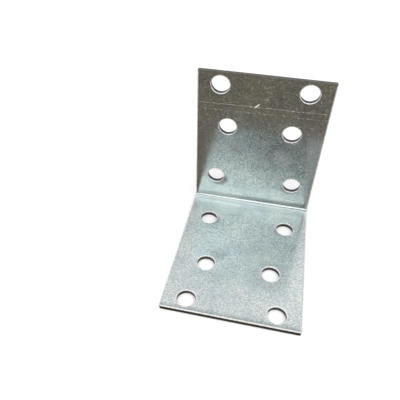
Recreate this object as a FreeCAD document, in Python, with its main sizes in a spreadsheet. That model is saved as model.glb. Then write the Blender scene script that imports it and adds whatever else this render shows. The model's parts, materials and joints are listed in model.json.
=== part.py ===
import FreeCAD, Part
import math
import os
from enum import IntEnum

import Sketcher
from FreeCAD import Vector

# Angle bracket: one strip of zinc-plated steel, punched, sheared to length and folded once.
# Frame: +Z up, the base leg lies on Z = 0, the upright stands at the +Y end,
# and the origin is under the middle of the base leg.

# Driving sizes in millimetres
SIZES = {
    # Base leg, from the upright's back face to the leg's free end
    "base_length": 50.0,
    # Upright leg, from the base leg's underside to its free end
    "upright_height": 50.0,
    # Width of the strip that the bracket is cut from
    "bracket_width": 40.0,
    "sheet_thickness": 1.5,
    # Radius on the inside of the fold
    "bend_radius": 1.5,
    "hole_diameter": 5.5,
    # Near row of holes, measured from the outer face of the other leg
    "bend_margin": 12.0,
    # Far row of holes, measured from the leg's free end
    "end_margin": 4.0,
    # From the far row back to the middle row
    "row_pitch": 14.0,
    # Near and far rows, measured in from the strip's edge
    "side_margin": 7.0,
    # Middle row, measured in from the strip's edge
    "middle_side_margin": 10.0,
    # Rounding of the four sheared corners
    "corner_radius": 0.4,
    # Rounding that the slitter and the shear leave along the strip's edges
    "edge_roll": 0.35,
    # Rolled rim that the punch leaves on the inner side of each hole
    "rim_width": 0.35,
    "rim_depth": 0.12,
}

NODE = "angle_bracket"
TOLERANCE = 1e-4

SKETCH_NORMAL = Vector(0, 0, 1)


class Point(IntEnum):
    """How a sketch names the points of a line or an arc."""
    START = 1
    END = 2
    MIDDLE = 3


class Axis(IntEnum):
    """How a sketch names its own axes."""
    X = -1
    Y = -2


# A sketch's origin is the start of its x axis
ORIGIN = (Axis.X, Point.START)


def make_sheet(doc):
    """Put the driving sizes in a spreadsheet, one named cell each."""
    sheet = doc.addObject("Spreadsheet::Sheet", "Sizes")
    for row, (name, value) in enumerate(SIZES.items(), start=1):
        sheet.set(f"A{row}", name)
        sheet.set(f"B{row}", str(value))
        sheet.setAlias(f"B{row}", name)
    doc.recompute()
    return sheet


def origin_plane(body, role):
    """The body's own origin plane with this role."""
    return next(plane for plane in body.Origin.OriginFeatures if plane.Role == role)


def new_sketch(body, name):
    """An empty sketch on the bracket's middle plane, with its x along Y and its y along Z."""
    sketch = body.newObject("Sketcher::SketchObject", name)
    sketch.AttachmentSupport = [(origin_plane(body, "YZ_Plane"), "")]
    sketch.MapMode = "FlatFace"
    return sketch


def line(sketch, first, last):
    """Draw a straight line and return its number."""
    return sketch.addGeometry(Part.LineSegment(first, last))


def arc(sketch, centre, radius, first_angle, last_angle):
    """Draw an anticlockwise arc and return its number."""
    circle = Part.Circle(centre, SKETCH_NORMAL, radius)
    return sketch.addGeometry(Part.ArcOfCircle(circle, first_angle, last_angle))


def constrain(sketch, kind, *places):
    """Add one geometric constraint."""
    sketch.addConstraint(Sketcher.Constraint(kind, *places))


def dimension(sketch, name, expression, kind, *places):
    """Add one named dimension and bind it to the sheet."""
    index = sketch.addConstraint(Sketcher.Constraint(kind, *places))
    sketch.renameConstraint(index, name)
    sketch.setExpression(f"Constraints.{name}", expression)


def draw_section(body, sheet):
    """The folded sheet's side view: two legs and the bend between them."""
    half = sheet.base_length / 2
    height = sheet.upright_height
    thickness = sheet.sheet_thickness
    inner_radius = sheet.bend_radius
    outer_radius = inner_radius + thickness
    centre = Vector(half - outer_radius, outer_radius)
    quarter_turn = (-math.pi / 2, 0.0)

    front_low = Vector(-half, 0)
    front_high = Vector(-half, thickness)
    back_top = Vector(half, height)
    inner_top = Vector(half - thickness, height)

    sketch = new_sketch(body, "Section")
    underside = line(sketch, front_low, Vector(centre.x, 0))
    outer_bend = arc(sketch, centre, outer_radius, *quarter_turn)
    back = line(sketch, Vector(half, centre.y), back_top)
    top_end = line(sketch, back_top, inner_top)
    upright_face = line(sketch, inner_top, Vector(half - thickness, centre.y))
    inner_bend = arc(sketch, centre, inner_radius, *quarter_turn)
    base_face = line(sketch, Vector(centre.x, thickness), front_high)
    front_end = line(sketch, front_high, front_low)

    for level in (underside, top_end, base_face):
        constrain(sketch, "Horizontal", level)
    for plumb in (back, upright_face, front_end):
        constrain(sketch, "Vertical", plumb)
    constrain(sketch, "Tangent", underside, Point.END, outer_bend, Point.START)
    constrain(sketch, "Tangent", outer_bend, Point.END, back, Point.START)
    constrain(sketch, "Coincident", back, Point.END, top_end, Point.START)
    constrain(sketch, "Coincident", top_end, Point.END, upright_face, Point.START)
    constrain(sketch, "Tangent", upright_face, Point.END, inner_bend, Point.END)
    constrain(sketch, "Tangent", inner_bend, Point.START, base_face, Point.START)
    constrain(sketch, "Coincident", base_face, Point.END, front_end, Point.START)
    constrain(sketch, "Coincident", front_end, Point.END, underside, Point.START)
    constrain(sketch, "Coincident", outer_bend, Point.MIDDLE, inner_bend, Point.MIDDLE)
    constrain(sketch, "PointOnObject", underside, Point.START, Axis.X)

    dimension(sketch, "half_length", "Sizes.base_length / 2",
              "DistanceX", underside, Point.START, *ORIGIN, half)
    dimension(sketch, "length", "Sizes.base_length",
              "DistanceX", underside, Point.START, back, Point.END, sheet.base_length)
    dimension(sketch, "height", "Sizes.upright_height",
              "DistanceY", underside, Point.START, back, Point.END, height)
    dimension(sketch, "thickness", "Sizes.sheet_thickness",
              "DistanceY", underside, Point.START, front_end, Point.START, thickness)
    dimension(sketch, "bend", "Sizes.bend_radius", "Radius", inner_bend, inner_radius)
    return sketch


def fold_sheet(body, sheet):
    """The folded strip, padded evenly to both sides of the middle plane."""
    pad = body.newObject("PartDesign::Pad", "FoldedSheet")
    pad.Profile = draw_section(body, sheet)
    pad.SideType = "Symmetric"
    pad.setExpression("Length", "Sizes.bracket_width")
    body.Document.recompute()
    return pad


def round_edges(body, name, feature, points, radius):
    """Fillet the feature's edges that pass through these points, with a radius from the sheet."""
    wanted = [f"Edge{number}" for number, edge in enumerate(feature.Shape.Edges, start=1)
              if any(edge.distToShape(Part.Vertex(point))[0] < TOLERANCE for point in points)]
    if len(wanted) != len(points):
        raise RuntimeError(f"{name} found {len(wanted)} of {len(points)} edges")
    fillet = body.newObject("PartDesign::Fillet", name)
    fillet.Base = (feature, wanted)
    fillet.setExpression("Radius", radius)
    body.Document.recompute()
    return fillet


def shear_edges(body, sheet, folded):
    """Round the strip's edges and corners as the slitter and the shear leave them.

    One cut of the shear parts one bracket's top from the next one's front, so its roll lies inside on the
    base leg's end and outside on the upright's end.
    """
    half_length = sheet.base_length / 2
    height = sheet.upright_height
    thickness = sheet.sheet_thickness
    outer_radius = sheet.bend_radius + thickness
    into_corner = Vector(0, 1, -1).normalize() * sheet.bend_radius
    bend_middle = Vector(0, half_length - outer_radius, outer_radius) + into_corner
    sides = [Vector(side * sheet.bracket_width / 2, 0, 0) for side in (-1, 1)]

    front_end = Vector(0, -half_length, thickness / 2)
    cornered = round_edges(body, "FrontCorners", folded, [front_end + side for side in sides],
                           "Sizes.corner_radius")
    inner_line = (Vector(0, 0, thickness), bend_middle, Vector(0, half_length - thickness, height / 2))
    inner_sides = [point + side for point in inner_line for side in sides]
    front_roll = Vector(0, -half_length, thickness)
    rolled = round_edges(body, "RolledInside", cornered, [front_roll, *inner_sides], "Sizes.edge_roll")
    back_roll = Vector(0, half_length, height)
    rolled = round_edges(body, "RolledTop", rolled, [back_roll], "Sizes.edge_roll")
    top_end = Vector(0, half_length - thickness / 2, height)
    return round_edges(body, "TopCorners", rolled, [top_end + side for side in sides],
                       "Sizes.corner_radius")


def draw_hole(body, sheet, name):
    """Half the section of a punched hole: x out from its axis, y inwards from the leg's outer face."""
    radius = sheet.hole_diameter / 2
    thickness = sheet.sheet_thickness
    width = sheet.rim_width
    depth = sheet.rim_depth
    rim_radius = (width ** 2 + depth ** 2) / (2 * depth)
    rim_centre = Vector(radius + width, thickness - rim_radius)
    rim_turn = math.asin(width / rim_radius)

    axis_low = Vector(0, -thickness)
    wall_low = Vector(radius, -thickness)
    wall_high = Vector(radius, thickness - depth)
    rim_high = Vector(radius + width, thickness)
    axis_high = Vector(0, thickness)

    sketch = new_sketch(body, name)
    axis = line(sketch, axis_high, axis_low)
    floor = line(sketch, axis_low, wall_low)
    wall = line(sketch, wall_low, wall_high)
    rim = arc(sketch, rim_centre, rim_radius, math.pi / 2, math.pi / 2 + rim_turn)
    mouth = line(sketch, rim_high, axis_high)

    for level in (floor, mouth):
        constrain(sketch, "Horizontal", level)
    constrain(sketch, "Vertical", wall)
    constrain(sketch, "Coincident", axis, Point.END, floor, Point.START)
    constrain(sketch, "Coincident", floor, Point.END, wall, Point.START)
    constrain(sketch, "Coincident", wall, Point.END, rim, Point.END)
    constrain(sketch, "Tangent", rim, Point.START, mouth, Point.START)
    constrain(sketch, "Coincident", mouth, Point.END, axis, Point.START)
    constrain(sketch, "PointOnObject", axis, Point.START, Axis.Y)
    constrain(sketch, "PointOnObject", axis, Point.END, Axis.Y)

    dimension(sketch, "radius", "Sizes.hole_diameter / 2",
              "DistanceX", *ORIGIN, wall, Point.START, radius)
    dimension(sketch, "inner_face", "Sizes.sheet_thickness",
              "DistanceY", *ORIGIN, mouth, Point.START, thickness)
    dimension(sketch, "punch_through", "Sizes.sheet_thickness",
              "DistanceY", wall, Point.START, *ORIGIN, thickness)
    dimension(sketch, "rim_width", "Sizes.rim_width",
              "DistanceX", wall, Point.END, mouth, Point.START, width)
    dimension(sketch, "rim_depth", "Sizes.rim_depth",
              "DistanceY", wall, Point.END, mouth, Point.START, depth)
    return sketch


def punch_hole(body, sheet, name, place, turn):
    """Turn a hole's section about its axis and cut it from a leg.

    place gives the foot of the hole's axis on the leg's outer face, as expressions for X, Y and Z,
    and turn swings the axis from upright to the leg's own direction.
    """
    before = body.Shape.Volume
    sketch = draw_hole(body, sheet, name + "Section")
    sketch.AttachmentOffset = FreeCAD.Placement(Vector(), FreeCAD.Rotation(SKETCH_NORMAL, turn))
    for sketch_axis, expression in zip("zxy", place):
        sketch.setExpression(f"AttachmentOffset.Base.{sketch_axis}", expression)
    hole = body.newObject("PartDesign::Groove", name)
    hole.Profile = sketch
    hole.ReferenceAxis = (sketch, ["V_Axis"])
    body.Document.recompute()
    if hole.Shape.Volume > before - TOLERANCE:
        raise RuntimeError(f"{name} removed nothing")
    return hole


def punch_legs(body, sheet):
    """Punch the same three rows in both legs on the +X half, then mirror them to the -X half."""
    outer_x = "Sizes.bracket_width / 2 - Sizes.side_margin"
    middle_x = "Sizes.bracket_width / 2 - Sizes.middle_side_margin"
    back_y = "Sizes.base_length / 2"
    underside_z = "0"
    base_turn, upright_turn = 0, 90
    holes = {
        "BaseNearHole": (outer_x, f"{back_y} - Sizes.bend_margin", underside_z, base_turn),
        "BaseMiddleHole": (middle_x, f"Sizes.end_margin + Sizes.row_pitch - {back_y}", underside_z,
                           base_turn),
        "BaseFarHole": (outer_x, f"Sizes.end_margin - {back_y}", underside_z, base_turn),
        "UprightNearHole": (outer_x, back_y, "Sizes.bend_margin", upright_turn),
        "UprightMiddleHole": (middle_x, back_y, "Sizes.upright_height - Sizes.end_margin - Sizes.row_pitch",
                              upright_turn),
        "UprightFarHole": (outer_x, back_y, "Sizes.upright_height - Sizes.end_margin", upright_turn),
    }
    punched = [punch_hole(body, sheet, name, place, turn) for name, (*place, turn) in holes.items()]
    mirrored = body.newObject("PartDesign::Mirrored", "MirroredHoles")
    mirrored.Originals = punched
    mirrored.MirrorPlane = (origin_plane(body, "YZ_Plane"), [""])
    body.Tip = mirrored
    body.Document.recompute()
    return mirrored


def build_bracket(doc, sheet):
    """The whole bracket as one body."""
    body = doc.addObject("PartDesign::Body", "Bracket")
    body.Label = NODE
    folded = fold_sheet(body, sheet)
    shear_edges(body, sheet, folded)
    punch_legs(body, sheet)
    return body


def check(doc, bodies):
    """Stop if any object failed or any solid isn't whole."""
    for item in doc.Objects:
        if "Invalid" in item.State or "Error" in item.State:
            raise RuntimeError(f"{item.Label} failed: {item.State}")
    for body in bodies:
        if body.Shape.isNull() or not body.Shape.isValid() or len(body.Shape.Solids) != 1:
            raise RuntimeError(f"{body.Label} is not one whole solid")


doc = FreeCAD.newDocument("AngleBracket")
sheet = make_sheet(doc)
bodies = [build_bracket(doc, sheet)]
doc.recompute()
check(doc, bodies)
os.makedirs("parts", exist_ok=True)
for body in bodies:
    body.Shape.exportStep(f"parts/{body.Label}.step")
    print(body.Label, "volume", round(body.Shape.Volume, 3), "faces", len(body.Shape.Faces))
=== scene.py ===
"""Looks of the angle bracket: one folded strip of zinc-plated steel with punched screw holes.

Everything is in metres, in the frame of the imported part: the base leg lies on Z = 0, the upright stands at
the +Y end, and X runs across the strip.
"""

import json
import logging
import math
from dataclasses import asdict, dataclass, fields
from enum import Enum
from functools import partial, reduce
from typing import Any, Callable

import bmesh
import bpy
from bmesh.types import BMEdge
from bpy.types import Material, MeshPolygon, Node, NodeSocket, NodeTree, Object
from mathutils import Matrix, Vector


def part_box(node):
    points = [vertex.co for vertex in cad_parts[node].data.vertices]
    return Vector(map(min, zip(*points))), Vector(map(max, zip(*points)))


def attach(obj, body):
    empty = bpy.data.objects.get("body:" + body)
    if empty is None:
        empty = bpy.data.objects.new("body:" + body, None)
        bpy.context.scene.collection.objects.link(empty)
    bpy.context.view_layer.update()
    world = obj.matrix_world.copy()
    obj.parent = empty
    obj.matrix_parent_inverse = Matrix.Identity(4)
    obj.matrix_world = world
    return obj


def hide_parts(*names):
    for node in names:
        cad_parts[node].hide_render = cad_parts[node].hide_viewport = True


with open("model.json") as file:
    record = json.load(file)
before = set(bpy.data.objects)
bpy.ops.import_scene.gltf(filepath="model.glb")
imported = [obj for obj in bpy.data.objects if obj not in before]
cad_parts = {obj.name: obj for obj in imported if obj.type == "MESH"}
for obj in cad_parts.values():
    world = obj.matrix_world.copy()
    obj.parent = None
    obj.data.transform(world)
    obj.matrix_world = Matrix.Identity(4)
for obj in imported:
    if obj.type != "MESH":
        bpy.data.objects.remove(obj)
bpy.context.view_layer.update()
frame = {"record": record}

logging.basicConfig(level=logging.INFO, format="%(message)s")
log = logging.getLogger("angle_bracket")

MM = 0.001
NODE = "angle_bracket"
BODY = "root"

# Mesh attribute that gives a point's place on the flat strip: across, along, and depth from 0 inside
# to 1 outside
STRIP = "strip"
# Points closer than this are one point
SAME_PLACE = 1e-6


class Leg(Enum):
    """The two legs of the bracket."""

    BASE = "base"
    UPRIGHT = "upright"


class Surface(Enum):
    """What a face of the sheet is, with the number of its material slot."""

    SKIN = 0
    ROLLED_EDGE = 1
    FRONT_END = 2
    TOP_END = 3
    SLIT_SIDE = 4
    PUNCHED_RIM = 5
    PUNCHED_WALL = 6


def make_active(*pieces: Object) -> None:
    """Make these the only selected objects, and the first of them the active one.

    Args:
        *pieces: The objects that the next operators act on.
    """
    bpy.ops.object.select_all(action="DESELECT")
    for piece in pieces:
        piece.select_set(True)
    bpy.context.view_layer.objects.active = pieces[0]


def merge_points() -> None:
    """Merge points in the same place and dissolve faces without area, in edit mode."""
    bpy.ops.mesh.select_all(action="SELECT")
    bpy.ops.mesh.remove_doubles(threshold=SAME_PLACE)
    bpy.ops.mesh.dissolve_degenerate(threshold=SAME_PLACE)


def choose_edges(piece: Object, wanted: Callable[[BMEdge], bool]) -> None:
    """Select only the edges that a test wants, in edit mode.

    Args:
        piece: The object in edit mode.
        wanted: Says of one edge whether it is selected.
    """
    bpy.ops.mesh.select_mode(type="EDGE")
    bpy.ops.mesh.select_all(action="DESELECT")
    mesh = bmesh.from_edit_mesh(piece.data)
    mesh.normal_update()
    for edge in [edge for edge in mesh.edges if wanted(edge)]:
        edge.select_set(True)
    bmesh.update_edit_mesh(piece.data)


@dataclass(frozen=True)
class HolePattern:
    """A group of equal holes in one leg.

    Attributes:
        leg: The leg that they are punched in.
        centre: The middle of the group, on the leg's outer face.
        spacing: Distances across the strip and along the leg.
        radius: Radius of one hole.
    """

    leg: Leg
    centre: Vector
    spacing: tuple[float, float]
    radius: float

    @classmethod
    def from_mount(cls, mount: dict[str, Any]) -> "HolePattern":
        """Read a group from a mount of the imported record.

        Args:
            mount: One bolt pattern of the record.

        Returns:
            The group of holes.
        """
        sizes = mount["dims"]
        spacing = (sizes["spacing_x_mm"] * MM, sizes.get("spacing_y_mm", 0.0) * MM)
        leg = Leg.BASE if mount["axis"][2] else Leg.UPRIGHT
        return cls(leg, Vector(mount["pos_m"]), spacing, sizes["hole_r_mm"] * MM)

    def places(self) -> list[Vector]:
        """Where the holes' axes meet the leg's outer face.

        Returns:
            One place for each hole.
        """
        along = Vector((0, 1, 0)) if self.leg is Leg.BASE else Vector((0, 0, 1))
        across = Vector((1, 0, 0))
        halves = (-0.5, 0.5)
        rows = halves if self.spacing[1] else (0.0,)
        return [self.centre + across * (side * self.spacing[0]) + along * (row * self.spacing[1])
                for row in rows for side in halves]


@dataclass
class Punch:
    """The tool that cuts one hole, with the flare that rolls the hole's rim.

    Attributes:
        radius: Radius of the hole.
        thickness: Thickness of the sheet.
        rim_width: How far the rolled rim reaches out from the hole.
        rim_depth: How far the rolled rim reaches down.
        breakout: How much wider the torn part of the wall is at the outer face.
        torn_share: Share of the thickness that is torn and not cut.
        sides: Number of flats round the tool.
        rim_steps: Number of steps down the rolled rim.
        overshoot: How far the tool stands out of the sheet on both sides.
    """

    radius: float
    thickness: float
    rim_width: float = 0.35 * MM
    rim_depth: float = 0.12 * MM
    breakout: float = 0.05 * MM
    torn_share: float = 0.4
    sides: int = 72
    rim_steps: int = 5
    overshoot: float = 1.0 * MM

    def _profile(self) -> list[tuple[float, float]]:
        """The tool's outline from its top down to its tip.

        Returns:
            Pairs of radius and height above the outer face.
        """
        arc_radius = (self.rim_width ** 2 + self.rim_depth ** 2) / (2 * self.rim_depth)
        arc_turn = math.asin(self.rim_width / arc_radius)
        rim_edge = self.radius + self.rim_width
        points = [(rim_edge, self.thickness + self.overshoot)]
        for step in range(self.rim_steps + 1):
            turn = arc_turn * step / self.rim_steps
            drop = arc_radius * (1 - math.cos(turn))
            points.append((rim_edge - arc_radius * math.sin(turn), self.thickness - drop))
        points.append((self.radius, self.thickness * self.torn_share))
        points.append((self.radius + self.breakout, 0.0))
        points.append((self.radius + self.breakout, -self.overshoot))
        return points

    def build(self) -> Object:
        """Draw the tool down from a disc, one ring after another.

        Returns:
            The tool, standing on the origin with its axis along Z.
        """
        (radius, height), *rings = self._profile()
        bpy.ops.mesh.primitive_circle_add(vertices=self.sides, radius=radius, fill_type="NGON",
                                          location=(0, 0, height))
        tool = bpy.context.active_object
        bpy.ops.object.transform_apply()
        bpy.ops.object.mode_set(mode="EDIT")
        bpy.ops.mesh.select_all(action="SELECT")
        for next_radius, next_height in rings:
            bpy.ops.mesh.extrude_region_move(TRANSFORM_OT_translate={"value": (0, 0, next_height - height)})
            ratio = next_radius / radius
            bpy.ops.transform.resize(value=(ratio, ratio, 1.0), center_override=(0, 0, next_height))
            radius, height = next_radius, next_height
        bpy.ops.mesh.select_all(action="SELECT")
        bpy.ops.mesh.normals_make_consistent(inside=False)
        bpy.ops.object.mode_set(mode="OBJECT")
        return tool

    def copies(self, patterns: list[HolePattern]) -> Object:
        """Set one copy of the tool in each hole's place.

        Args:
            patterns: The groups of holes.

        Returns:
            All copies, joined into one object.
        """
        tool = self.build()
        inward = {Leg.BASE: (0, 0, 0), Leg.UPRIGHT: (math.pi / 2, 0, 0)}
        tools = []
        for pattern in patterns:
            for place in pattern.places():
                copy = tool.copy()
                copy.data = tool.data.copy()
                bpy.context.collection.objects.link(copy)
                copy.location = place
                copy.rotation_euler = inward[pattern.leg]
                tools.append(copy)
        bpy.data.objects.remove(tool)
        make_active(*tools)
        bpy.ops.object.join()
        joined = bpy.context.active_object
        bpy.ops.object.transform_apply()
        return joined


@dataclass(frozen=True)
class Noise:
    """Cloudy noise.

    Attributes:
        scale: Lumps to the metre.
        layers: Number of finer layers.
        strength: Strength of the finer layers.
    """

    scale: float
    layers: float
    strength: float


class Wiring:
    """Adds the nodes of one tree and joins them."""

    # Numbers of the colour mixer's sockets: the share, the two colours, and the mixed colour
    MIX_INPUTS = (0, 6, 7)
    MIX_OUTPUT = 2

    def __init__(self, tree: NodeTree) -> None:
        """Start on an empty tree."""
        self.tree = tree
        tree.nodes.clear()

    def node(self, kind: str, inputs: dict[Any, Any] | None = None, **settings: Any) -> Node:
        """Add one node.

        Args:
            kind: The type of node.
            inputs: Values or sockets for the node's inputs, by name or number.
            **settings: Properties of the node.

        Returns:
            The new node.
        """
        made = self.tree.nodes.new(kind)
        for name, value in settings.items():
            setattr(made, name, value)
        for name, value in (inputs or {}).items():
            if isinstance(value, NodeSocket):
                self.tree.links.new(value, made.inputs[name])
            else:
                made.inputs[name].default_value = value
        return made

    def math(self, operation: str, *values: Any) -> NodeSocket:
        """Work out one number from numbers or sockets."""
        return self.node("ShaderNodeMath", dict(enumerate(values)), operation=operation).outputs[0]

    def times(self, *values: Any) -> NodeSocket:
        """Multiply numbers or sockets one after another."""
        return reduce(partial(self.math, "MULTIPLY"), values)

    def split(self, vector: Any) -> list[NodeSocket]:
        """The sockets with the X, Y and Z of a vector."""
        return list(self.node("ShaderNodeSeparateXYZ", {"Vector": vector}).outputs)

    def ramp(self, value: Any, low: float, high: float, to_low: float = 0.0, to_high: float = 1.0,
             smooth: bool = False) -> NodeSocket:
        """Stretch a number from one range to another without passing its ends, eased there if smooth."""
        inputs = {"Value": value, "From Min": low, "From Max": high, "To Min": to_low, "To Max": to_high}
        return self.node("ShaderNodeMapRange", inputs,
                         interpolation_type="SMOOTHSTEP" if smooth else "LINEAR").outputs["Result"]

    def noise(self, vector: Any, kind: Noise) -> NodeSocket:
        """Cloudy noise from 0 to 1."""
        inputs = {"Vector": vector, "Scale": kind.scale, "Detail": kind.layers, "Roughness": kind.strength}
        return self.node("ShaderNodeTexNoise", inputs).outputs["Fac"]

    def blend(self, share: Any, first: Any, second: Any, mode: str = "MIX") -> NodeSocket:
        """Mix two colours by the share of the second one."""
        inputs = dict(zip(self.MIX_INPUTS, (share, first, second)))
        return self.node("ShaderNodeMix", inputs, data_type="RGBA", blend_type=mode).outputs[self.MIX_OUTPUT]

    def places(self) -> tuple[NodeSocket, NodeSocket]:
        """The sockets with a point's place in the bracket's frame and on the flat strip."""
        place = self.node("ShaderNodeTexCoord").outputs["Object"]
        return place, self.node("ShaderNodeAttribute", attribute_name=STRIP).outputs["Vector"]

    def coat(self, inputs: dict[str, Any], height: Any, unit: float = 1.0, strength: float = 1.0) -> None:
        """End a material with its shader and the height of its surface.

        Args:
            inputs: Values or sockets for the shader's inputs, by name.
            height: The surface's height.
            unit: What a height of 1 stands for.
            strength: How strongly the height shows.
        """
        bump = self.node("ShaderNodeBump", {"Strength": strength, "Distance": unit, "Height": height})
        shader = self.node("ShaderNodeBsdfPrincipled", inputs | {"Normal": bump.outputs["Normal"]})
        self.node("ShaderNodeOutputMaterial", {"Surface": shader.outputs["BSDF"]})


def new_group(name: str, vectors: list[str], numbers: list[str],
              outputs: list[str]) -> tuple[NodeTree, Wiring]:
    """Start a node group with its sockets.

    Args:
        name: The group's name.
        vectors: Names of the inputs that are places.
        numbers: Names of the inputs that are numbers.
        outputs: Names of the outputs, which are numbers.

    Returns:
        The group and the wiring of its nodes.
    """
    group = bpy.data.node_groups.new(name, "ShaderNodeTree")
    for labels, way, kind in ((vectors, "INPUT", "Vector"), (numbers, "INPUT", "Float"),
                              (outputs, "OUTPUT", "Float")):
        for label in labels:
            group.interface.new_socket(label, in_out=way, socket_type=f"NodeSocket{kind}")
    return group, Wiring(group)


def new_material(name: str) -> tuple[Material, Wiring]:
    """Start a material.

    Args:
        name: The material's name.

    Returns:
        The material and the wiring of its nodes.
    """
    made = bpy.data.materials.new(name)
    made.use_nodes = True
    return made, Wiring(made.node_tree)


Colour = tuple[float, float, float, float]


def colour(red: float, green: float, blue: float) -> Colour:
    """A solid colour for a socket."""
    return (red, green, blue, 1.0)


BLACK = colour(0, 0, 0)


@dataclass(frozen=True)
class ZincGrain:
    """The fine grain and the soft clouds that hot zinc leaves on sheet steel.

    Attributes:
        flake_scale: Zinc flakes to the metre.
        flake_share: How much of the shading comes from the flakes and not from the fine grain.
        fine: The fine grain.
        patches: The soft clouds.
    """

    flake_scale: float = 3200.0
    flake_share: float = 0.4
    fine: Noise = Noise(2000.0, 4.0, 0.8)
    patches: Noise = Noise(140.0, 3.0, 0.55)

    # The part of a pattern that is stretched to run from 0 to 1
    GRAIN_RANGE = (0.25, 0.75)
    DULL_RANGE = (0.78, 0.95)
    CLOUD_RANGE = (0.3, 0.7)

    def group(self) -> NodeTree:
        """Build the node group.

        Returns:
            A group that gives the grain, the dull flakes, the clouds and the height of the surface.
        """
        group, wire = new_group("zinc_grain", ["Place"], [], ["Grain", "Dull", "Cloud", "Height"])
        place = wire.node("NodeGroupInput").outputs["Place"]
        flakes = wire.node("ShaderNodeTexVoronoi", {"Vector": place, "Scale": self.flake_scale})
        shade, dull, _ = wire.node("ShaderNodeSeparateColor", {"Color": flakes.outputs["Color"]}).outputs
        grain = wire.noise(place, self.fine)
        mixed = wire.math("ADD", wire.times(shade, self.flake_share), wire.times(grain, 1 - self.flake_share))
        cloud = wire.noise(place, self.patches)
        wire.node("NodeGroupOutput", {"Grain": wire.ramp(mixed, *self.GRAIN_RANGE),
                                      "Dull": wire.ramp(dull, *self.DULL_RANGE),
                                      "Cloud": wire.ramp(cloud, *self.CLOUD_RANGE, smooth=True),
                                      "Height": grain})
        return group


@dataclass(frozen=True)
class LineMark:
    """A thin mark that runs nearly straight across the strip.

    Attributes:
        start: Where it starts across the strip.
        end: Where it ends across the strip.
        level: How far along the strip it lies, at the middle of the strip's width.
        slope: How far along the strip it climbs for each metre across.
        width: Half its width.
        depth: How strongly it shows, from 0 to 1.
        breaks: How much of it is missing here and there, from 0 to 1.
    """

    start: float
    end: float
    level: float
    slope: float
    width: float
    depth: float
    breaks: float

    # How far a mark's ends fade, how far it wanders off its line, and how fast it wanders and breaks
    FADE = 0.3 * MM
    WANDER = 0.25 * MM
    SWING = Noise(160.0, 2.0, 0.5)
    GAPS = Noise(420.0, 3.0, 0.7)
    MEAN_SWING = 0.5
    # Where a mark fades to its side, as shares of half its width
    CORE = (0.4, 1.0)
    # The part of the noise in which a mark comes back after a gap
    GAP_RANGE = (0.35, 0.6)

    @classmethod
    def group(cls) -> NodeTree:
        """Build the node group that draws one mark.

        Returns:
            A group that gives the mark's mask.
        """
        numbers = [field.name.capitalize() for field in fields(cls)]
        group, wire = new_group("line_mark", ["Strip"], numbers, ["Mask"])
        given = wire.node("NodeGroupInput").outputs
        across, along, _ = wire.split(given["Strip"])
        only_across = wire.node("ShaderNodeCombineXYZ", {"X": across, "Y": given["Level"]}).outputs[0]
        swing = wire.math("SUBTRACT", wire.noise(only_across, cls.SWING), cls.MEAN_SWING)
        wander = wire.times(swing, cls.WANDER)
        straight = wire.math("MULTIPLY_ADD", across, given["Slope"], given["Level"])
        aside = wire.math("SUBTRACT", along, wire.math("ADD", straight, wander))
        off = wire.math("DIVIDE", wire.math("ABSOLUTE", aside), given["Width"])
        core = wire.ramp(off, *cls.CORE, 1.0, 0.0, smooth=True)
        inside = wire.math("MINIMUM", wire.math("SUBTRACT", across, given["Start"]),
                           wire.math("SUBTRACT", given["End"], across))
        ends = wire.ramp(inside, 0.0, cls.FADE)
        missing = wire.ramp(wire.noise(only_across, cls.GAPS), *cls.GAP_RANGE, 1.0, 0.0)
        present = wire.math("SUBTRACT", 1.0, wire.times(missing, given["Breaks"]))
        wire.node("NodeGroupOutput", {"Mask": wire.times(core, ends, present, given["Depth"])})
        return group

    def place(self, wire: Wiring, group: NodeTree, strip: NodeSocket) -> NodeSocket:
        """The mask of this mark in a material, from the group that draws it and the place on the strip."""
        values = {name.capitalize(): value for name, value in asdict(self).items()}
        return wire.node("ShaderNodeGroup", values | {"Strip": strip}, node_tree=group).outputs["Mask"]


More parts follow.
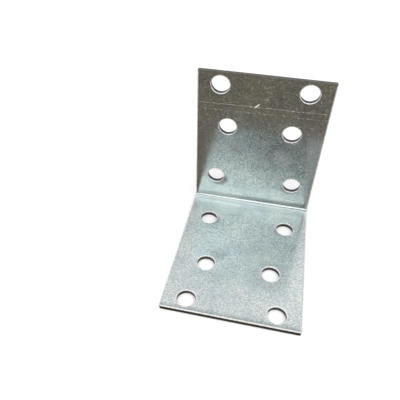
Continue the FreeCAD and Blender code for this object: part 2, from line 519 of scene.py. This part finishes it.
@dataclass(frozen=True)
class ZincSkin:
    """The coated faces of the sheet.

    Attributes:
        name: The material's name.
        dark: Colour of the darkest flakes.
        light: Colour of the brightest flakes.
        cool: Tint of the bluer clouds.
        pale: Tint of the paler clouds.
        roughness: Roughness of the darkest and of the brightest grain.
        flake_roughness: How much rougher the dull flakes are.
        flake_bloom: How much less metallic the dull flakes look.
        scratch: Colour of bright bare marks.
        scratch_roughness: Roughness inside a mark.
        scratch_shine: How metallic the torn metal of a mark looks.
        scratch_depth: How deep a mark is.
        stain: Colour of the thin dark marks.
        grain_height: Height of the grain.
        burnished: Colour of the inside of the fold, pressed smooth by the folding tool.
        burnished_roughness: How much rougher the inside of the fold is.
        polished: Colour of the base leg beside the fold, where the folding tool has rubbed it.
        shine: How metallic the zinc looks.
        fold: Where the fold's middle lies along the strip, and how far it reaches each way.
        rub: How far beyond the fold the polish on the base leg reaches.
        calm: How far from the fold's middle the grain is pressed flat, and where it is back in full.
        calm_share: How much of the grain is pressed flat there.
        length: Length of the flat strip.
        drawn: Where the band of painted shade along the sheared ends starts to fade and where it ends, from
            an end.
        drawn_shade: How much darker the painted shade makes the zinc in that band.
        marks: The bright scratches on the inner side.
        stains: The thin dark marks on the inner side.
    """

    name: str
    dark: Colour = colour(0.50, 0.54, 0.54)
    light: Colour = colour(0.92, 0.985, 0.98)
    cool: Colour = colour(0.85, 0.885, 0.915)
    pale: Colour = colour(0.99, 1.0, 0.995)
    roughness: tuple[float, float] = (0.14, 0.16)
    flake_roughness: float = 0.11
    flake_bloom: float = 0.13
    scratch: Colour = colour(0.98, 0.87, 0.71)
    scratch_roughness: float = 0.5
    scratch_shine: float = 0.3
    scratch_depth: float = 0.015 * MM
    stain: Colour = colour(0.2, 0.21, 0.21)
    grain_height: float = 0.0015 * MM
    burnished: Colour = colour(0.665, 0.735, 0.73)
    burnished_roughness: float = 0.08
    polished: Colour = colour(0.93, 1.0, 1.0)
    shine: float = 1.0
    fold: tuple[float, float] = (0.0, 0.0)
    rub: float = 3.0 * MM
    calm: tuple[float, float] = (6.5 * MM, 10.0 * MM)
    calm_share: float = 0.92
    length: float = 1.0
    drawn: tuple[float, float] = (0.35 * MM, 1.75 * MM)
    drawn_shade: float = 0.42
    marks: tuple[LineMark, ...] = ()
    stains: tuple[LineMark, ...] = ()

    # Depths between which the inner side ends
    INNER_DEPTH = (0.3, 0.5)
    # Where the burnish starts and ends, from the fold's middle, as shares of the fold's reach
    BURNISH_START = (-0.75, -0.3)
    BURNISH_END = (0.7, 2.4)
    # How strongly the burnish and the polish show
    BURNISH_SHARE = 0.84
    RUB_SHARE = 0.8
    MEAN_GRAIN = 0.5

    def _worked(self, wire: Wiring, along: Any, inner: Any) -> tuple[Any, Any, Any]:
        """What the folding tool has done to the inner side.

        Args:
            wire: The material's wiring.
            along: The place along the flat strip.
            inner: The mask of the inner side.

        Returns:
            Masks of the burnished fold, of the polish beside it and of the grain that is left.
        """
        middle, reach = self.fold
        past = wire.math("SUBTRACT", along, middle)
        start = wire.ramp(past, *(share * reach for share in self.BURNISH_START))
        end = wire.ramp(past, *(share * reach for share in self.BURNISH_END), self.BURNISH_SHARE, 0.0)
        pressed = wire.times(start, end, inner)
        rubbed = wire.times(wire.ramp(past, -reach - self.rub, -reach, 0.0, self.RUB_SHARE),
                            wire.ramp(past, -reach, 0.0, 1.0, 0.0), inner)
        off = wire.math("ABSOLUTE", past)
        evened = wire.times(wire.ramp(off, *self.calm, self.calm_share, 0.0, smooth=True), inner)
        return pressed, rubbed, wire.math("SUBTRACT", 1.0, wire.math("MAXIMUM", pressed, evened))

    def material(self, grain: NodeTree, mark: NodeTree) -> Material:
        """Make the material.

        Args:
            grain: The zinc grain group.
            mark: The group that draws a mark.

        Returns:
            The material.
        """
        made, wire = new_material(self.name)
        place, strip = wire.places()
        _, along, depth = wire.split(strip)
        inner = wire.ramp(depth, *self.INNER_DEPTH, 1.0, 0.0)
        outer = wire.math("SUBTRACT", 1.0, inner)
        pressed, rubbed, grainy = self._worked(wire, along, inner)
        # Painted shade: a band along the base leg's end on the inner side, and along the upright's end on the
        # outer side, is darkened towards black
        front_painted_shade = wire.times(wire.ramp(along, *self.drawn, 1.0, 0.0), inner)
        from_top = wire.math("SUBTRACT", self.length, along)
        top_painted_shade = wire.times(wire.ramp(from_top, *self.drawn, 1.0, 0.0), outer)
        drawn = wire.times(wire.math("ADD", front_painted_shade, top_painted_shade), self.drawn_shade)
        masks = []
        for lines in (self.marks, self.stains):
            mask: Any = 0.0
            for line in lines:
                mask = wire.math("MAXIMUM", mask, line.place(wire, mark, strip))
            masks.append(wire.times(mask, inner))
        scratched, stained = masks

        zinc = wire.node("ShaderNodeGroup", {"Place": place}, node_tree=grain).outputs
        from_mean = wire.math("SUBTRACT", zinc["Grain"], self.MEAN_GRAIN)
        shade = wire.math("MULTIPLY_ADD", from_mean, grainy, self.MEAN_GRAIN)
        flakes = wire.blend(rubbed, wire.blend(shade, self.dark, self.light), self.polished)
        flakes = wire.blend(pressed, flakes, self.burnished)
        tint = wire.blend(zinc["Cloud"], self.cool, self.pale)
        # The painted shade along the ends darkens the zinc's colour towards black
        zinc_colour = wire.blend(drawn, wire.blend(1.0, flakes, tint, "MULTIPLY"), BLACK)
        finished = wire.blend(scratched, wire.blend(stained, zinc_colour, self.stain), self.scratch)

        low, high = self.roughness
        satin = wire.ramp(shade, 0.0, 1.0, low, high)
        dull = wire.times(zinc["Dull"], grainy)
        flaked = wire.math("MULTIPLY_ADD", dull, self.flake_roughness, satin)
        folded = wire.math("MULTIPLY_ADD", pressed, self.burnished_roughness, flaked)
        rough = wire.math("MULTIPLY_ADD", scratched, self.scratch_roughness - high, folded)
        bloomed = wire.math("MULTIPLY_ADD", dull, -self.flake_bloom, self.shine)
        bare = wire.math("MULTIPLY_ADD", scratched, self.scratch_shine - self.shine, bloomed)
        relief = wire.times(zinc["Height"], grainy)
        height = wire.math("MULTIPLY_ADD", relief, self.grain_height,
                           wire.times(scratched, -self.scratch_depth))
        wire.coat({"Base Color": finished, "Metallic": bare, "Roughness": rough}, height)
        return made


@dataclass(frozen=True)
class ShearMarks:
    """The streaks and the torn band that a blade leaves on the edge of sheet steel.

    Attributes:
        streak_scale: Streaks to the metre along the edge.
        streak_length: How fast a streak changes through the thickness.
        streaks: How the streaks vary along the edge.
        specks: The specks of torn metal.
        ragged: How unevenly the torn band starts, as a share of the thickness.
    """

    streak_scale: float = 2600.0
    streak_length: float = 1.2
    streaks: Noise = Noise(1.0, 2.0, 0.6)
    specks: Noise = Noise(4200.0, 2.0, 0.7)
    ragged: float = 0.28

    MEAN_STREAK = 0.5
    # The part of a pattern that is stretched to run from 0 to 1
    TORN_RANGE = (-0.04, 0.08)
    STREAK_RANGE = (0.3, 0.7)
    SPECK_RANGE = (0.52, 0.68)

    def group(self) -> NodeTree:
        """Build the node group.

        Returns:
            A group that gives the torn band, the streaks and the specks.
        """
        group, wire = new_group("shear_marks", ["Strip", "Place"], ["Tear"], ["Torn", "Streak", "Speck"])
        given = wire.node("NodeGroupInput").outputs
        across, along, depth = wire.split(given["Strip"])
        edge = wire.times(wire.math("ADD", across, along), self.streak_scale)
        drawn = wire.node("ShaderNodeCombineXYZ", {"X": edge, "Y": wire.times(depth, self.streak_length)})
        streak = wire.noise(drawn.outputs[0], self.streaks)
        speck = wire.noise(given["Place"], self.specks)
        uneven = wire.times(wire.math("SUBTRACT", streak, self.MEAN_STREAK), self.ragged)
        past = wire.math("SUBTRACT", wire.math("ADD", depth, uneven), given["Tear"])
        wire.node("NodeGroupOutput", {"Torn": wire.ramp(past, *self.TORN_RANGE, smooth=True),
                                      "Streak": wire.ramp(streak, *self.STREAK_RANGE),
                                      "Speck": wire.ramp(speck, *self.SPECK_RANGE)})
        return group


@dataclass(frozen=True)
class CutEdge:
    """A bare cut face: a bright band where the blade went in, and a duller torn band below it.

    Attributes:
        name: The material's name.
        cut: Colour of the cut band.
        torn: Colour of the torn band.
        flash: Colour of bright specks in the torn band.
        pressed_outside: Whether the blade came in from the outer side.
        tear: Where the torn band starts, as a share of the thickness.
        cut_roughness: Roughness of the cut band.
        torn_roughness: Roughness of the torn band.
        streak_height: Height of the streaks.
    """

    name: str
    cut: Colour
    torn: Colour
    flash: Colour
    pressed_outside: bool = False
    tear: float = 0.4
    cut_roughness: float = 0.33
    torn_roughness: float = 0.62
    streak_height: float = 0.03 * MM

    # How dark the deepest streaks are, how high a speck is beside a streak, and how strongly both show
    STREAK_SHADE = 0.62
    SPECK_HEIGHT = 0.5
    RELIEF = 0.6

    def material(self, shear: NodeTree) -> Material:
        """Make the material.

        Args:
            shear: The group of shear marks.

        Returns:
            The material.
        """
        made, wire = new_material(self.name)
        place, strip = wire.places()
        across, along, depth = wire.split(strip)
        if self.pressed_outside:
            depth = wire.math("SUBTRACT", 1.0, depth)
        turned = wire.node("ShaderNodeCombineXYZ", {"X": across, "Y": along, "Z": depth}).outputs[0]
        inputs = {"Strip": turned, "Place": place, "Tear": self.tear}
        marks = wire.node("ShaderNodeGroup", inputs, node_tree=shear).outputs
        streaked = wire.ramp(marks["Streak"], 0.0, 1.0, self.STREAK_SHADE, 1.0)
        banded = wire.blend(marks["Torn"], self.cut, wire.blend(marks["Speck"], self.torn, self.flash))
        finished = wire.blend(1.0, banded, streaked, "MULTIPLY")
        rough = wire.ramp(marks["Torn"], 0.0, 1.0, self.cut_roughness, self.torn_roughness)
        height = wire.math("MULTIPLY_ADD", marks["Speck"], self.SPECK_HEIGHT, marks["Streak"])
        wire.coat({"Base Color": finished, "Metallic": 1.0, "Roughness": rough}, height, self.streak_height,
                  self.RELIEF)
        return made


@dataclass
class FoldedSheet:
    """The bracket itself: a strip of sheet steel, folded once and punched.

    Attributes:
        low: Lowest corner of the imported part.
        high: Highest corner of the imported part.
        patterns: The groups of holes.
        thickness: Thickness of the sheet.
        bend_radius: Radius on the inside of the fold.
        corner_radius: Rounding of the sheared corners.
        edge_roll: Rounding that the slitter and the shear leave along the edges.
        burr_break: Rounding of the edges on the burr's side.
        bend_steps: Flats round the fold.
        fold_tail: How far beyond the fold the sheet is still slightly curved.
        fold_lift: How far that curve takes the sheet inwards.
        draw_width: How far from an edge the blade has drawn the skin down.
        draw_depth: How far the skin is drawn down at the edge.
    """

    low: Vector
    high: Vector
    patterns: list[HolePattern]
    thickness: float = 1.5 * MM
    bend_radius: float = 1.5 * MM
    corner_radius: float = 0.4 * MM
    edge_roll: float = 0.35 * MM
    burr_break: float = 0.05 * MM
    bend_steps: int = 16
    fold_tail: float = 2.2 * MM
    fold_lift: float = 0.074 * MM
    draw_width: float = 1.4 * MM
    draw_depth: float = 0.05 * MM

    # Turn between two faces from which their edge isn't shaded smooth, and from which it is broken
    SMOOTH_ANGLE = math.radians(40)
    SHARP_ANGLE = math.radians(60)
    # Cosine from which a face belongs to the raw strip's skin, to the finished skin, to a roll and to a side
    SKIN_LEAN = 0.9
    FLAT_LEAN = 0.99
    ROLL_LEAN = 0.35
    STEEP_SIDE = 0.7
    # Depth of the sheet's middle, and how firmly the shading keeps to large faces
    MIDDLE_DEPTH = 0.5
    FLAT_WEIGHT = 100
    # Flats round a corner, a roll and a broken edge, and rows in which a soft curve is drawn
    CORNER_STEPS = 4
    ROLL_STEPS = 6
    BURR_STEPS = 2
    EASE_STEPS = 5

    @property
    def bend_centre(self) -> Vector:
        """The axis of the fold, on the bracket's middle plane."""
        outer = self.bend_radius + self.thickness
        return Vector((0, self.high.y - outer, self.low.z + outer))

    @property
    def middle_radius(self) -> float:
        """Radius of the sheet's middle in the fold."""
        return self.bend_radius + self.thickness / 2

    def _turn(self, point: Vector) -> float:
        """How far the sheet has turned at a point, from 0 on the base leg to a right angle on the upright."""
        off = point - self.bend_centre
        return math.pi / 2 if off.z >= 0 else math.atan2(max(0.0, off.y), -off.z)

    def _outward(self, point: Vector) -> Vector:
        """The direction out of the sheet's outer face at a point."""
        turn = self._turn(point)
        return Vector((0, math.sin(turn), -math.cos(turn)))

    def _strip_place(self, point: Vector) -> tuple[float, float, float]:
        """Where a point of the sheet lies on the flat strip.

        Args:
            point: A point of the folded sheet.

        Returns:
            Place across, place along from the base leg's free end, and depth from 0 inside to 1 outside.
        """
        off = point - self.bend_centre
        out = self._outward(point)
        before = self.bend_centre.y - self.low.y + self.middle_radius * self._turn(point)
        depth = (off.dot(out) - self.bend_radius) / self.thickness
        return point.x, before + off.z * out.y - off.y * out.z, depth

    def _edge_rows(self) -> list[float]:
        """How far from an edge the rows of faces end that the blade has drawn down."""
        first = self.corner_radius + self.burr_break
        return [first + (self.draw_width - first) * step / (self.EASE_STEPS - 1)
                for step in range(self.EASE_STEPS)]

    def _leg_rows(self, length: float) -> list[float]:
        """The rows of faces along one leg, from its free end to the fold.

        Args:
            length: Length of the leg's straight part.

        Returns:
            The length of each row.
        """
        tail = [length - self.fold_tail * step / self.EASE_STEPS for step in range(self.EASE_STEPS, -1, -1)]
        ends = self._edge_rows() + tail
        return [end - start for start, end in zip([0.0] + ends, ends)]

    def _fold(self) -> Object:
        """Draw the strip from the base leg's free end round the fold and up to the top.

        Returns:
            The folded strip, with square edges.
        """
        width = self.high.x - self.low.x
        end_middle = (0, self.low.y, self.low.z + self.thickness / 2)
        bpy.ops.mesh.primitive_plane_add(size=1.0, location=end_middle, rotation=(math.pi / 2, 0, 0))
        sheet = bpy.context.active_object
        sheet.name = "folded_sheet"
        sheet.scale = (width, self.thickness, 1.0)
        bpy.ops.object.transform_apply()
        centre = self.bend_centre
        bpy.ops.object.mode_set(mode="EDIT")
        for gap in self._edge_rows():
            for side in (self.low.x + gap, self.high.x - gap):
                bpy.ops.mesh.select_all(action="SELECT")
                bpy.ops.mesh.bisect(plane_co=(side, 0, 0), plane_no=(1, 0, 0))
        bpy.ops.mesh.select_all(action="SELECT")
        for step in self._leg_rows(centre.y - self.low.y):
            bpy.ops.mesh.extrude_region_move(TRANSFORM_OT_translate={"value": (0, step, 0)})
        bpy.ops.mesh.spin(steps=self.bend_steps, angle=math.pi / 2, center=centre, axis=(-1, 0, 0))
        for step in reversed(self._leg_rows(self.high.z - centre.z)):
            bpy.ops.mesh.extrude_region_move(TRANSFORM_OT_translate={"value": (0, 0, step)})
        merge_points()
        bpy.ops.mesh.select_all(action="SELECT")
        bpy.ops.mesh.normals_make_consistent(inside=False)
        bpy.ops.object.mode_set(mode="OBJECT")
        return sheet

    def _in_corner(self, edge: BMEdge) -> bool:
        """Whether an edge of the raw strip runs through the thickness at one of its four corners."""
        places = [self._strip_place(vertex.co) for vertex in edge.verts]
        return all(max(self.high.x - abs(across), min(along, self._length() - along)) < SAME_PLACE
                   for across, along, _ in places)

    def _bounds_skin(self, edge: BMEdge, way: int) -> bool:
        """Whether just one of an edge's faces lies on a skin: -1 is the inner skin and 1 the outer one."""
        leans = [face.normal.dot(self._outward(face.calc_center_median())) for face in edge.link_faces]
        return sum(lean * way > self.SKIN_LEAN for lean in leans) == 1

    def _rolled_inside(self, edge: BMEdge) -> bool:
        """Whether an edge bounds the inner skin, along the sides or on the base leg's end."""
        on_top = all(self.high.z - vertex.co.z < SAME_PLACE for vertex in edge.verts)
        return not on_top and self._bounds_skin(edge, -1)

    def _rolled_outside(self, edge: BMEdge) -> bool:
        """Whether an edge bounds the outer skin, on the upright's end."""
        near_top = all(self.high.z - vertex.co.z < self.corner_radius + SAME_PLACE for vertex in edge.verts)
        return near_top and self._bounds_skin(edge, 1)

    def _round_edges(self, sheet: Object) -> None:
        """Round the corners and edges: rolled where the blade pressed in, nearly sharp on the burr's side.

        The roll lies inside on the base leg's end and along both sides, and outside on the upright's end.

        Args:
            sheet: The square-edged strip.
        """
        cuts = (
            (self._in_corner, self.corner_radius, self.CORNER_STEPS),
            (self._rolled_inside, self.edge_roll, self.ROLL_STEPS),
            (self._rolled_outside, self.edge_roll, self.ROLL_STEPS),
            (lambda edge: edge.calc_face_angle(0.0) > self.SHARP_ANGLE, self.burr_break, self.BURR_STEPS),
        )
        bpy.ops.object.mode_set(mode="EDIT")
        for wanted, radius, steps in cuts:
            choose_edges(sheet, wanted)
            bpy.ops.mesh.bevel(offset=radius, segments=steps, affect="EDGES")
        merge_points()
        bpy.ops.object.mode_set(mode="OBJECT")

    def _drawn(self, gap: float) -> float:
        """How far the blade has drawn the skin down at this distance from an edge."""
        return self.draw_depth * max(0.0, 1 - gap / self.draw_width) ** 2

    def _ease(self, sheet: Object) -> None:
        """Let the fold start softly, and draw the skin down along the edges where the blade pressed in.

        Args:
            sheet: The strip with rounded edges.
        """
        middle, reach = self._fold_reach()
        length = self._length()
        for vertex in sheet.data.vertices:
            across, along, depth = self._strip_place(vertex.co)
            tail = (along - middle) / (reach + self.fold_tail)
            lift = self.fold_lift * max(0.0, 1 - tail * tail) ** 2
            inside = max(self._drawn(self.high.x - abs(across)), self._drawn(along))
            outside = self._drawn(length - along)
            vertex.co += self._outward(vertex.co) * (inside * (1 - depth) - outside * depth - lift)

    def _punch(self, sheet: Object) -> None:
        """Punch every hole.

        Args:
            sheet: The folded strip.
        """
        radius = self.patterns[0].radius
        tools = Punch(radius, self.thickness).copies(self.patterns)
        make_active(sheet)
        cut = sheet.modifiers.new("punch", "BOOLEAN")
        cut.operation = "DIFFERENCE"
        cut.solver = "EXACT"
        cut.object = tools
        bpy.ops.object.modifier_apply(modifier=cut.name)
        bpy.data.objects.remove(tools)
        bpy.ops.object.mode_set(mode="EDIT")
        merge_points()
        bpy.ops.object.mode_set(mode="OBJECT")

    def _surface_of(self, face: MeshPolygon) -> Surface:
        """What kind of surface a finished face is.

        Args:
            face: A face of the punched sheet.

        Returns:
            The kind of surface.
        """
        spot = face.center
        lean = abs(face.normal.dot(self._outward(spot)))
        if lean > self.FLAT_LEAN:
            return Surface.SKIN
        side_gap = self.high.x - abs(spot.x)
        front_gap = spot.y - self.low.y
        top_gap = self.high.z - spot.z
        inside = self._strip_place(spot)[2] < self.MIDDLE_DEPTH
        rolled = lean > self.ROLL_LEAN and inside != (top_gap < self.corner_radius)
        if min(side_gap, front_gap, top_gap) > self.corner_radius:
            return Surface.PUNCHED_RIM if rolled else Surface.PUNCHED_WALL
        if rolled:
            return Surface.ROLLED_EDGE
        if abs(face.normal.x) > self.STEEP_SIDE:
            return Surface.SLIT_SIDE
        return Surface.TOP_END if top_gap < front_gap else Surface.FRONT_END

    def _finish_mesh(self, sheet: Object) -> None:
        """Smooth the rounded parts, keep the flats flat and store each point's place on the strip.

        Args:
            sheet: The punched sheet.
        """
        make_active(sheet)
        bpy.ops.object.shade_smooth_by_angle(angle=self.SMOOTH_ANGLE)
        flatten = sheet.modifiers.new("flatten", "WEIGHTED_NORMAL")
        flatten.mode = "FACE_AREA"
        flatten.weight = self.FLAT_WEIGHT
        flatten.keep_sharp = True
        bpy.ops.object.modifier_apply(modifier=flatten.name)
        mesh = sheet.data
        places = mesh.attributes.new(STRIP, "FLOAT_VECTOR", "POINT")
        for vertex in mesh.vertices:
            places.data[vertex.index].vector = self._strip_place(vertex.co)

    def build(self) -> Object:
        """Model the sheet.

        Returns:
            The finished piece, without its materials.
        """
        sheet = self._fold()
        self._round_edges(sheet)
        self._ease(sheet)
        self._punch(sheet)
        self._finish_mesh(sheet)
        return sheet

    def _length(self) -> float:
        """Length of the flat strip."""
        return self._strip_place(self.high)[1]

    def _fold_reach(self) -> tuple[float, float]:
        """Where the fold's middle lies along the flat strip, and half the fold's length."""
        half_turn = self.middle_radius * math.pi / 4
        return self.bend_centre.y - self.low.y + half_turn, half_turn

    def _marks(self) -> tuple[LineMark, ...]:
        """The bright scratches of the inner side.

        Returns:
            Four lines and two nicks on the upright.
        """
        rise = self._strip_place(Vector((0, self.high.y, self.bend_centre.z)))[1] - self.bend_centre.z
        # Start, end and height on the upright in mm, slope, half width in mm, strength and gaps
        lines = (
            (-20, 20, 40.0, 0.014, 0.10, 0.38, 0.5),
            (-18, 5, 37.9, 0.013, 0.09, 0.3, 0.8),
            (10, 20, 37.6, 0.039, 0.09, 0.2, 0.8),
            (11, 18, 33.9, 0.084, 0.09, 0.24, 0.8),
            (-2.3, -0.8, 41.9, 0.9, 0.36, 1.0, 0.0),
            (-2.6, -1.9, 39.2, -0.3, 0.16, 0.9, 0.0),
        )
        return tuple(LineMark(start * MM, end * MM, rise + height * MM, slope, width * MM, depth, breaks)
                     for start, end, height, slope, width, depth, breaks in lines)

    def _stains(self) -> tuple[LineMark, ...]:
        """The short dark line on the base leg, near the fold."""
        return (LineMark(start=-7.5 * MM, end=-4.1 * MM, level=40.65 * MM, slope=-0.02, width=0.24 * MM,
                         depth=0.6, breaks=0.2),)

    def dress(self, sheet: Object) -> None:
        """Give each kind of surface its finish.

        Args:
            sheet: The finished piece.
        """
        grain = ZincGrain().group()
        mark = LineMark.group()
        shear = ShearMarks().group()
        fold = self._fold_reach()
        rolled = {"cool": colour(0.97, 0.98, 1.0), "roughness": (0.24, 0.3), "flake_roughness": 0.1,
                  "fold": fold, "drawn_shade": 0.0}
        skins = {
            Surface.SKIN: ZincSkin("zinc_skin", fold=fold, length=self._length(),
                                   marks=self._marks(), stains=self._stains()),
            # Pale, half-metallic zinc that the overhead lamp lights evenly: the real rolled edge, with a
            # painted highlight line on it
            Surface.ROLLED_EDGE: ZincSkin("rolled_edge", colour(0.68, 0.685, 0.665), colour(0.81, 0.81, 0.79),
                                          shine=0.5, **rolled),
            # Paler half-metallic zinc round the holes, lit evenly by the overhead lamp: the real rolled rims,
            # with a painted highlight ring on them
            Surface.PUNCHED_RIM: ZincSkin("punched_rim", colour(0.82, 0.83, 0.81), colour(0.95, 0.95, 0.93),
                                          shine=0.55, **rolled),
        }
        cuts = {
            # The front end is darker than the top end: partly dark bare steel, partly painted shade of the
            # gap under the front edge
            Surface.FRONT_END: CutEdge("front_end", colour(0.18, 0.16, 0.135), colour(0.10, 0.085, 0.07),
                                       colour(0.27, 0.25, 0.215)),
            Surface.TOP_END: CutEdge("top_end", colour(0.27, 0.262, 0.246), colour(0.365, 0.357, 0.333),
                                     colour(0.476, 0.468, 0.444), pressed_outside=True),
            Surface.SLIT_SIDE: CutEdge("slit_side", colour(0.66, 0.68, 0.68), colour(0.42, 0.43, 0.43),
                                       colour(0.6, 0.61, 0.6), streak_height=0.012 * MM),
            Surface.PUNCHED_WALL: CutEdge("punched_wall", colour(0.35, 0.354, 0.35), colour(0.13, 0.13, 0.13),
                                          colour(0.28, 0.28, 0.276)),
        }
        finishes = {surface: skin.material(grain, mark) for surface, skin in skins.items()}
        finishes |= {surface: cut.material(shear) for surface, cut in cuts.items()}
        sheet.data.materials.clear()
        for surface in Surface:
            sheet.data.materials.append(finishes[surface])
        for face in sheet.data.polygons:
            face.material_index = self._surface_of(face).value


@dataclass(frozen=True)
class SoftLamp:
    """A soft lamp that the camera doesn't see.

    Attributes:
        name: The lamp's name.
        place: Its middle.
        size: Its width and height.
        power: Its power in watts.
        aim: The point that it faces.
        tint: Its colour.
        mirrored: Whether shiny faces show it.
    """

    name: str
    place: tuple[float, float, float]
    size: tuple[float, float]
    power: float
    aim: tuple[float, float, float] = (0.0, 0.0, 20 * MM)
    tint: tuple[float, float, float] = (1.0, 1.0, 1.0)
    mirrored: bool = True

    def hang(self) -> None:
        """Hang the lamp in the scene."""
        lamp = bpy.data.lights.new(self.name, "AREA")
        lamp.shape = "RECTANGLE"
        lamp.size, lamp.size_y = self.size
        lamp.energy = self.power
        lamp.color = self.tint
        holder = bpy.data.objects.new(self.name, lamp)
        bpy.context.scene.collection.objects.link(holder)
        holder.location = self.place
        holder.rotation_euler = (Vector(self.aim) - Vector(self.place)).to_track_quat("-Z", "Y").to_euler()
        holder.visible_camera = False
        holder.visible_glossy = self.mirrored


@dataclass
class Studio:
    """The floor, the light and the camera.

    Attributes:
        camera_place: Where the camera stands.
        camera_turn: The camera's turn about X, Y and Z in degrees.
        lens: Focal length on a 36 mm wide frame, in millimetres.
        floor_size: Width of the floor.
    """

    camera_place: Vector
    camera_turn: tuple[float, float, float]
    lens: float
    floor_size: float = 1.6

    FLOOR_COLOUR = colour(0.9, 0.9, 0.9)
    FRONT_CARD = colour(0.135, 0.11, 0.084)
    UNDER_CARD = colour(0.42, 0.41, 0.40)
    RIGHT_CARD = colour(0.27, 0.265, 0.255)
    BACK_CARD = colour(0.36, 0.36, 0.355)
    BACKDROP_COLOUR = colour(1.0, 1.0, 1.0)
    FRONT_WALL = colour(0.12, 0.11, 0.10)
    BACK_WALL = colour(0.35, 0.35, 0.35)
    FRONT_CEILING = colour(0.96, 0.965, 0.965)
    BACK_CEILING = colour(0.89, 0.89, 0.89)
    # Where the bright ceiling starts and where it is full, in degrees above the horizon
    FRONT_CLIMB = (41.0, 50.0)
    BACK_CLIMB = (32.0, 54.0)
    # Where the front of the room ends and the rest begins, as the cosine of the heading from the back
    FRONT_HEADING = (-0.9, -0.5)
    NEAR_CLIP = 5 * MM
    # Edges of the card under the bracket, and the height of all cards above the floor
    CARD_SIDE = 20.5 * MM
    CARD_FRONT = 25.5 * MM
    CARD_HEIGHT = 0.1 * MM
    LAMPS = (
        SoftLamp("overhead_box", place=(0.2, -0.3, 1.5), size=(2.0, 2.0), power=22.0, mirrored=False),
        SoftLamp("front_strip", place=(0.0, -0.9, 0.17), size=(1.2, 0.3), power=2.2),
        SoftLamp("front_box", place=(-0.4315, -0.87, 0.75), size=(1.19, 0.08), power=0.67,
                 aim=(-0.515, -0.074, 0.02), tint=(0.98, 1.0, 0.955)),
        SoftLamp("low_glow", place=(-0.25, -0.87, 0.64), size=(0.42, 0.12), power=0.085),
        SoftLamp("high_glow", place=(-0.24, -0.73, 0.95), size=(0.4, 0.12), power=0.125),
        SoftLamp("back_box", place=(0.30, 0.80, 0.87), size=(0.4, 0.4), power=0.05),
    )

    def _plane(self, name: str, size: tuple[float, float], place: Vector, tint: Colour) -> Object:
        """A flat matt sheet that belongs to the studio.

        Args:
            name: The object's name.
            size: Its width and depth.
            place: Its middle.
            tint: Its colour.

        Returns:
            The sheet.
        """
        bpy.ops.mesh.primitive_plane_add(size=1.0, location=place)
        made = bpy.context.active_object
        made.name = name
        made.scale = (size[0], size[1], 1.0)
        bpy.ops.object.transform_apply()
        paint, wire = new_material(name)
        matt = wire.node("ShaderNodeBsdfDiffuse", {"Color": tint})
        wire.node("ShaderNodeOutputMaterial", {"Surface": matt.outputs["BSDF"]})
        made.data.materials.append(paint)
        return made

    def lay_floor(self) -> None:
        """Lay the pale floor, and darker cards round the bracket that only its reflections show."""
        self._plane("floor", (self.floor_size, self.floor_size), Vector((0, 0, 0)), self.FLOOR_COLOUR)
        reach = self.floor_size / 2
        front, back = -self.CARD_FRONT, self.CARD_FRONT
        left, right = -self.CARD_SIDE, self.CARD_SIDE
        cards = (("front_card", Vector((-reach, -reach)), Vector((reach, front)), self.FRONT_CARD),
                 ("left_card", Vector((-reach, front)), Vector((left, back)), self.FRONT_CARD),
                 ("under_card", Vector((left, front)), Vector((right, back)), self.UNDER_CARD),
                 ("right_card", Vector((right, front)), Vector((reach, back)), self.RIGHT_CARD),
                 ("back_card", Vector((-reach, back)), Vector((reach, reach)), self.BACK_CARD))
        for name, low, high, tint in cards:
            middle = (low + high) / 2
            card = self._plane(name, tuple(high - low), Vector((*middle, self.CARD_HEIGHT)), tint)
            card.visible_camera = False
            card.visible_diffuse = False
            card.visible_transmission = False
            card.visible_shadow = False

    def _set_room(self) -> None:
        """Set a room with a bright ceiling, a dark wall in front and a grey one behind."""
        world = bpy.data.worlds.new("studio_room")
        world.use_nodes = True
        wire = Wiring(world.node_tree)
        way = wire.node("ShaderNodeTexCoord").outputs["Generated"]
        _, back, climb = wire.split(way)
        halves = []
        for wall, ceiling, angles in ((self.FRONT_WALL, self.FRONT_CEILING, self.FRONT_CLIMB),
                                      (self.BACK_WALL, self.BACK_CEILING, self.BACK_CLIMB)):
            start, full = (math.sin(math.radians(angle)) for angle in angles)
            halves.append(wire.blend(wire.ramp(climb, start, full, smooth=True), wall, ceiling))
        level = wire.math("SQRT", wire.math("SUBTRACT", 1.0, wire.times(climb, climb)))
        heading = wire.math("DIVIDE", back, level)
        room = wire.blend(wire.ramp(heading, *self.FRONT_HEADING, smooth=True), *halves)
        seen = wire.node("ShaderNodeLightPath").outputs["Is Camera Ray"]
        sky = wire.node("ShaderNodeBackground", {"Color": wire.blend(seen, room, self.BACKDROP_COLOUR)})
        wire.node("ShaderNodeOutputWorld", {"Surface": sky.outputs["Background"]})
        bpy.context.scene.world = world

    def light(self) -> None:
        """Set the room and hang the lamps."""
        self._set_room()
        for lamp in self.LAMPS:
            lamp.hang()

    def set_camera(self) -> None:
        """Stand the camera where the picture was taken from."""
        lens = bpy.data.cameras.new("camera")
        lens.lens = self.lens
        lens.clip_start = self.NEAR_CLIP
        camera = bpy.data.objects.new("camera", lens)
        bpy.context.scene.collection.objects.link(camera)
        camera.location = self.camera_place
        camera.rotation_euler = [math.radians(turn) for turn in self.camera_turn]
        bpy.context.scene.camera = camera
        bpy.context.scene.view_settings.view_transform = "Standard"


def main() -> None:
    """Build the bracket and its studio."""
    low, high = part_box(NODE)
    patterns = [HolePattern.from_mount(mount) for mount in frame["record"]["mounts"]
                if mount["kind"] == "bolt_pattern"]
    bracket = FoldedSheet(Vector(low), Vector(high), patterns)
    sheet = bracket.build()
    bracket.dress(sheet)
    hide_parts(NODE)
    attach(sheet, BODY)
    log.info("%s: %d faces", sheet.name, len(sheet.data.polygons))

    studio = Studio(camera_place=Vector((4.225, -88.884, 103.464)) * MM,
                    camera_turn=(47.686, -0.807, 12.144), lens=37.622)
    studio.lay_floor()
    studio.light()
    studio.set_camera()
    log.info("studio: floor, cards, lamps and camera")


if __name__ == "__main__":
    main()
